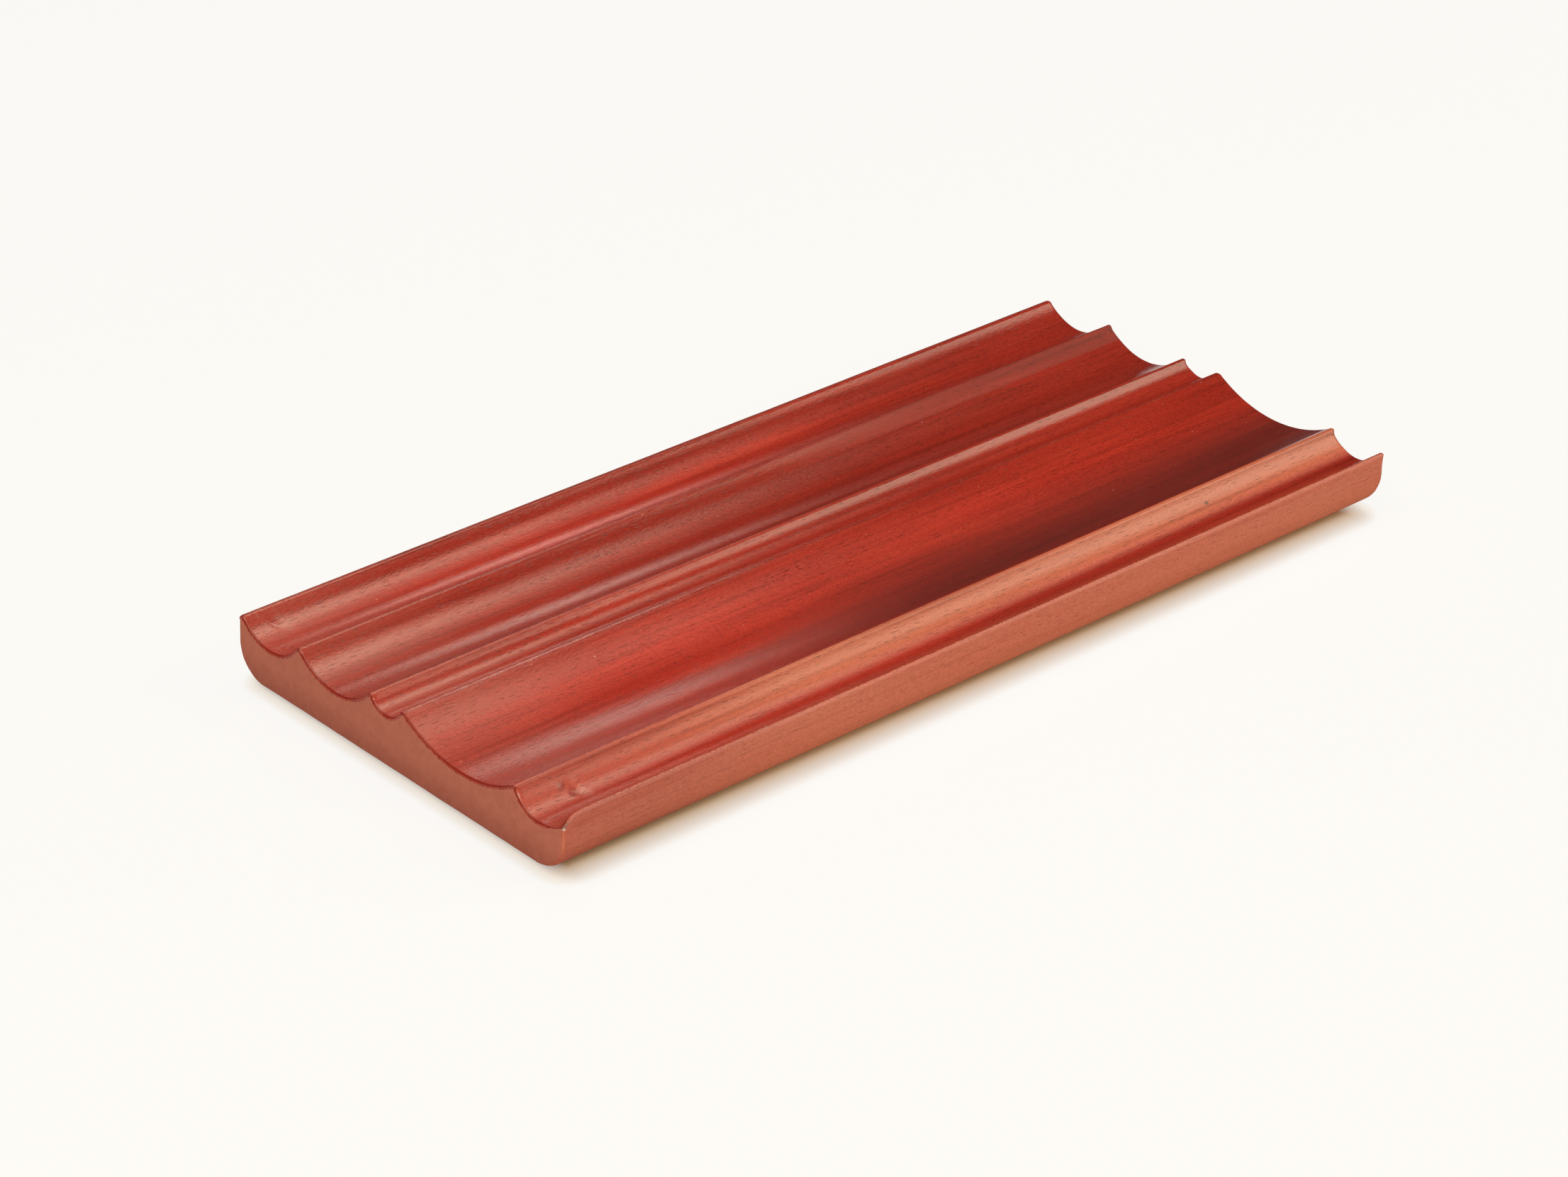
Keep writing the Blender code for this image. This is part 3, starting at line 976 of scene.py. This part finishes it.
def felt_profile(radius, low, high):
    """Half the outline of a felt disc, from the middle of its underside to the middle of its top."""
    inner = radius - FELT_EDGE
    flat = [inner * k / FELT_RINGS for k in range(FELT_RINGS)]
    turns = [UP * k / FELT_LAYERS for k in range(FELT_LAYERS + 1)]
    under = [(inner + FELT_EDGE * math.sin(a), low + FELT_EDGE * (1 - math.cos(a))) for a in turns]
    over = [(inner + FELT_EDGE * math.cos(a), high - FELT_EDGE * (1 - math.sin(a))) for a in turns]
    return [(r, low) for r in flat] + under + over + [(r, high) for r in reversed(flat)]


def felt_ring(shape, middle, r, z, fuzz, seed):
    """One ring of new points of a felt disc, or its middle point, listed for every side."""
    if r == 0.0:
        return [shape.verts.new((middle.x, middle.y, z))] * FELT_SIDES
    ring = []
    for i in range(FELT_SIDES):
        c, s = math.cos(TURN * i / FELT_SIDES), math.sin(TURN * i / FELT_SIDES)
        place = (c * FELT_LUMPS, s * FELT_LUMPS, z / MM * FELT_LAYER_LUMPS + seed)
        reach = r + fuzz * noise.noise(Vector(place))
        ring.append(shape.verts.new((middle.x + reach * c, middle.y + reach * s, z)))
    return ring


def felt_disc(name, low, high, fuzz, seed):
    """A disc of felt with soft, slightly uneven faces and rim, inside the box given."""
    middle = (low + high) / 2
    profile = felt_profile((high.x - low.x) / 2 - fuzz, low.z, high.z)
    shape = bmesh.new()
    rings_up = [felt_ring(shape, middle, r, z, fuzz, seed) for r, z in profile]
    for lower, upper in zip(rings_up, rings_up[1:]):
        for i in range(FELT_SIDES):
            j = (i + 1) % FELT_SIDES
            corners = (lower[i], lower[j], upper[j], upper[i])
            shape.faces.new(tuple(dict.fromkeys(corners)))
    mesh = bpy.data.meshes.new(name)
    shape.to_mesh(mesh)
    shape.free()
    mesh.shade_smooth()
    return mesh


def of_faces(mesh, name):
    """One vector for each face of a mesh."""
    values = np.zeros(len(mesh.polygons) * 3)
    mesh.polygons.foreach_get(name, values)
    return values.reshape(-1, 3)


def finish_of_faces(mesh, sizes):
    """Each face's material: lacquered, rubbed in the wide groove, or bare on the ends and outside."""
    normals, middles = of_faces(mesh, "normal"), of_faces(mesh, "center")
    crests = all_crests(sizes, all_grooves(sizes))
    finish = np.full(len(normals), LACQUERED, np.int32)
    finish[(middles[:, 1] > crests[1][1].y) & (middles[:, 1] < crests[2][0].y)] = RUBBED
    finish[(np.abs(normals[:, 0]) > FACES_END) | (normals[:, 2] < FACES_OUT)] = BARE
    return finish


def show(name, mesh):
    """Links a new object for a mesh into the scene."""
    piece = bpy.data.objects.new(name, mesh)
    bpy.context.scene.collection.objects.link(piece)
    return piece


class PENTRAY_OT_block(bpy.types.Operator):
    """Build the moulded beech block with its stain and lacquer"""

    bl_idname = "pen_tray.block"
    bl_label = "Beech block"

    def execute(self, context):
        settings = context.scene.pen_tray
        places, normals, weight = rings(settings.block)
        places = lowered_lip(settings.block, sanded(settings.block, places, normals, weight))
        mesh = lofted(places, "beech_block")
        side = lay_out(mesh, places)
        attribute = mesh.attributes.new("crest", "FLOAT", "POINT")
        attribute.data.foreach_set("value", np.tile(weight, len(places)).astype(np.float32))
        mesh.shade_smooth()
        finish = settings.finish
        for name, shine in (
            ("stained_beech_lacquer", finish.lacquer_shine),
            ("stained_beech_outside", finish.bare_shine),
            ("stained_beech_satin", finish.satin_shine),
        ):
            mesh.materials.append(beech_material(settings, side, name, shine))
        mesh.polygons.foreach_set("material_index", finish_of_faces(mesh, settings.block))
        block = show("beech_block", mesh)
        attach(block, BODY)
        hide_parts("tray_block")
        return {"FINISHED"}


class PENTRAY_OT_feet(bpy.types.Operator):
    """Build the four felt feet"""

    bl_idname = "pen_tray.feet"
    bl_label = "Felt feet"

    def execute(self, context):
        settings = context.scene.pen_tray
        material = felt_material(settings)
        for seed, place in enumerate(FEET):
            low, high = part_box(f"felt_foot_{place}")
            high.z = LOW.z
            mesh = felt_disc(f"felt_disc_{place}", low, high, settings.feet.fuzz, seed)
            mesh.materials.append(material)
            foot = show(f"felt_disc_{place}", mesh)
            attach(foot, BODY)
            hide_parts(f"felt_foot_{place}")
        return {"FINISHED"}


# Studio

CAMERA_PLACE = Vector((-0.48097, -0.53167, 0.39535))
CAMERA_AIM = Vector((-0.00493, 0.00725, 0.0))
CAMERA_ROLL = 0.00255
CAMERA_RANGE = (0.01, 20.0)
TABLE_SIDES = 96

Lamp = namedtuple("Lamp", "name place width height power")
LAMPS = (
    Lamp("overhead_softbox", (0.422, 0.037, 1.229), 0.40, 0.62, 3.8),
    Lamp("high_back_softbox", (0.483, 0.435, 1.126), 0.45, 0.50, 0.9),
    Lamp("left_softbox", (-0.70, 0.10, 1.10), 0.70, 0.70, 6.0),
    Lamp("front_right_softbox", (0.911, -0.662, 0.65), 0.67, 0.65, 6.2),
    Lamp("back_softbox", (0.62, 0.965, 0.49), 0.11, 0.40, 0.45),
    Lamp("front_left_softbox", (-0.793, -0.766, 0.689), 0.55, 0.55, 8.6),
)
SHADE_START = (95.0 * MM, 40.5 * MM, 0.0)
SHADE_REACH = 7.0 * MM


def seen_directly(tree):
    """1 where a ray comes from the camera, a glossy surface or through glass, and otherwise 0."""
    path = add(tree, "ShaderNodeLightPath").outputs
    mirrored = calc(tree, "MAXIMUM", path["Is Glossy Ray"], path["Is Transmission Ray"])
    return calc(tree, "MAXIMUM", path["Is Camera Ray"], mirrored)


def table_mesh(studio):
    """A round table top of flat wedges."""
    turns = [TURN * i / TABLE_SIDES for i in range(TABLE_SIDES)]
    rim = [(studio.table_radius * math.cos(a), studio.table_radius * math.sin(a), 0.0) for a in turns]
    wedges = [(0, i + 1, (i + 1) % TABLE_SIDES + 1) for i in range(TABLE_SIDES)]
    mesh = bpy.data.meshes.new("table")
    mesh.from_pydata([(0.0, 0.0, 0.0), *rim], [], wedges)
    return mesh


def table_material(studio):
    """Plain pale paper, which away from the block gets part of its brightness from the backdrop."""
    material, tree, shader = new_material("pale_paper")
    feed(tree, shader, {"Base Color": (*studio.table, 1.0), "Roughness": 0.9, "Specular IOR Level": 0.0})
    glow = add(tree, "ShaderNodeEmission", {"Color": (*studio.backdrop, 1.0)})

    place = vector(tree, "ABSOLUTE", add(tree, "ShaderNodeTexCoord").outputs["Object"])
    past = vector(tree, "MAXIMUM", vector(tree, "SUBTRACT", place, SHADE_START), (0.0, 0.0, 0.0))
    away = calc(tree, "MINIMUM", calc(tree, "DIVIDE", measure(tree, "LENGTH", past), SHADE_REACH), 1.0)
    amount = product(tree, seen_directly(tree), away, studio.backdrop_share)
    mixed = add(tree, "ShaderNodeMixShader", {0: amount, 1: shader.outputs[0], 2: glow.outputs[0]})
    tree.links.new(mixed.outputs[0], tree.nodes["Material Output"].inputs["Surface"])
    return material


def softbox(lamp, tint):
    """A soft rectangular lamp that faces the middle of the block."""
    light = bpy.data.lights.new(lamp.name, "AREA")
    light.shape = "RECTANGLE"
    light.size = lamp.width
    light.size_y = lamp.height
    light.energy = lamp.power
    light.color = tint
    made = show(lamp.name, light)
    made.location = lamp.place
    made.rotation_mode = "QUATERNION"
    made.rotation_quaternion = (-Vector(lamp.place)).to_track_quat("-Z", "Y")
    made.visible_camera = False


def light_up(studio):
    """The lamps, and dim even light from all sides."""
    for lamp in LAMPS:
        softbox(lamp, studio.lamp)
    world = bpy.data.worlds.new("studio_air")
    bpy.context.scene.world = world
    world.use_nodes = True
    tree = world.node_tree
    feed(tree, tree.nodes["Background"], {"Color": (*studio.lamp, 1.0), "Strength": studio.ambient})


def place_camera(studio):
    """The camera, very nearly level, where the picture was taken from."""
    camera = bpy.data.cameras.new("camera")
    camera.sensor_fit = "HORIZONTAL"
    camera.lens = studio.lens
    camera.clip_start, camera.clip_end = CAMERA_RANGE
    made = show("camera", camera)
    made.location = CAMERA_PLACE
    made.rotation_mode = "QUATERNION"
    level = (CAMERA_AIM - CAMERA_PLACE).to_track_quat("-Z", "Y")
    made.rotation_quaternion = level @ Quaternion((0.0, 0.0, 1.0), CAMERA_ROLL)
    bpy.context.scene.camera = made


class PENTRAY_OT_studio(bpy.types.Operator):
    """Build the table, the lamps and the camera"""

    bl_idname = "pen_tray.studio"
    bl_label = "Studio"

    def execute(self, context):
        studio = context.scene.pen_tray.studio
        mesh = table_mesh(studio)
        mesh.materials.append(table_material(studio))
        show("table", mesh)
        light_up(studio)
        place_camera(studio)
        context.scene.view_settings.view_transform = "Standard"
        return {"FINISHED"}


class PENTRAY_PT_panel(bpy.types.Panel):
    """The pen tray's steps, in order"""

    bl_label = "Pen Tray"
    bl_idname = "PENTRAY_PT_panel"
    bl_space_type = "VIEW_3D"
    bl_region_type = "UI"
    bl_category = "Pen Tray"

    def draw(self, context):
        for operator in OPERATORS:
            self.layout.operator(operator.bl_idname)


OPERATORS = (PENTRAY_OT_block, PENTRAY_OT_feet, PENTRAY_OT_studio)
GROUPS = (BlockSizes, BlockFinish, FootSizes, StudioSettings, PenTraySettings)
CLASSES = (*GROUPS, *OPERATORS, PENTRAY_PT_panel)


def register():
    for made in CLASSES:
        bpy.utils.register_class(made)
    bpy.types.Scene.pen_tray = PointerProperty(type=PenTraySettings)


def unregister():
    del bpy.types.Scene.pen_tray
    for made in reversed(CLASSES):
        bpy.utils.unregister_class(made)


def main():
    register()
    bpy.ops.pen_tray.block()
    bpy.ops.pen_tray.feet()
    bpy.ops.pen_tray.studio()
    bpy.context.view_layer.update()


if __name__ == "__main__":
    main()
